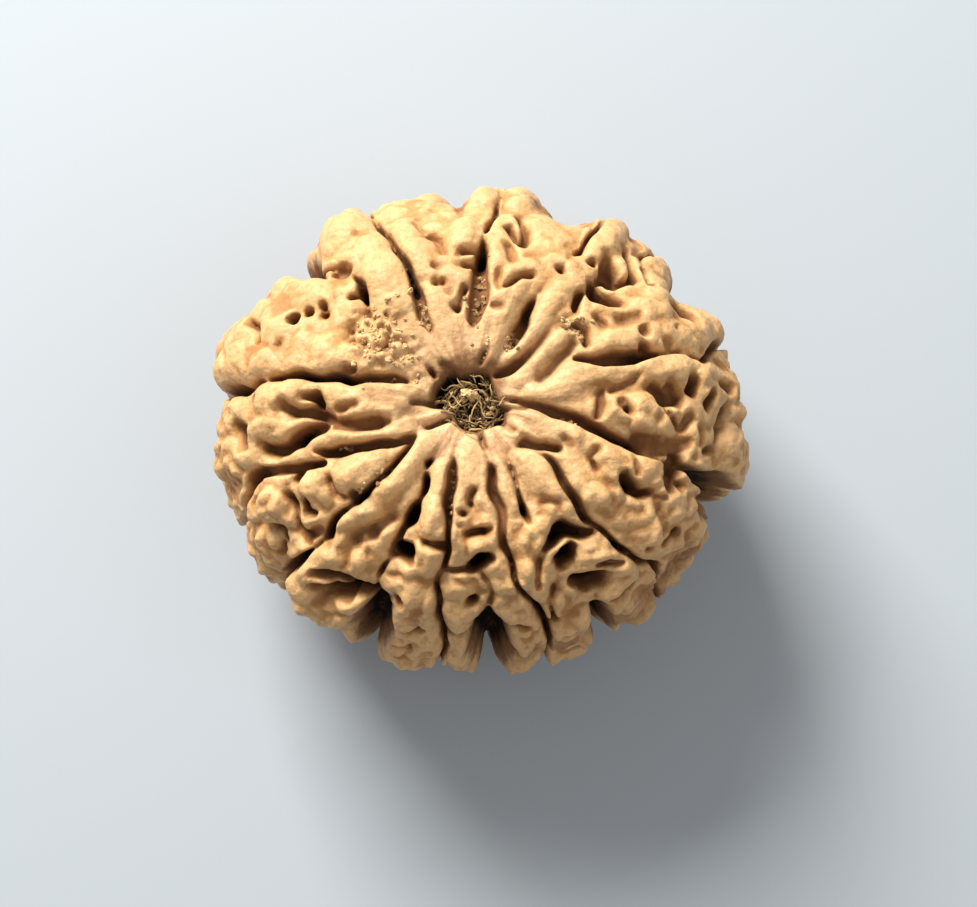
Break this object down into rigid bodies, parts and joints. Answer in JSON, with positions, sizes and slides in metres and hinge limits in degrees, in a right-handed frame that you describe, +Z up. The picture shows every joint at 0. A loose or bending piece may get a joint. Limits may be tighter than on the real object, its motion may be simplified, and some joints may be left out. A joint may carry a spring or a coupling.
{
  "type": "rudraksha bead",
  "caption": "Rudraksha bead: ridged natural fruit stone, squat and rounded, with clefts from pole to pole, knobbly lobes and a small flat spot to rest on.",
  "frame": {"origin": "middle of the bead's box, at the level of the flat spot it rests on", "axes": "+Z up through the mouth at the top pole, +X along the bead's longest side"},
  "size_m": [0.0287, 0.0264, 0.0179],
  "materials": {
    "stone": "dry tan woody fruit stone, faintly polished on the crowns, dark brown in the clefts and pits"
  },
  "bodies": {
    "root": {"bead": "stone"}
  },
  "joints": []
}
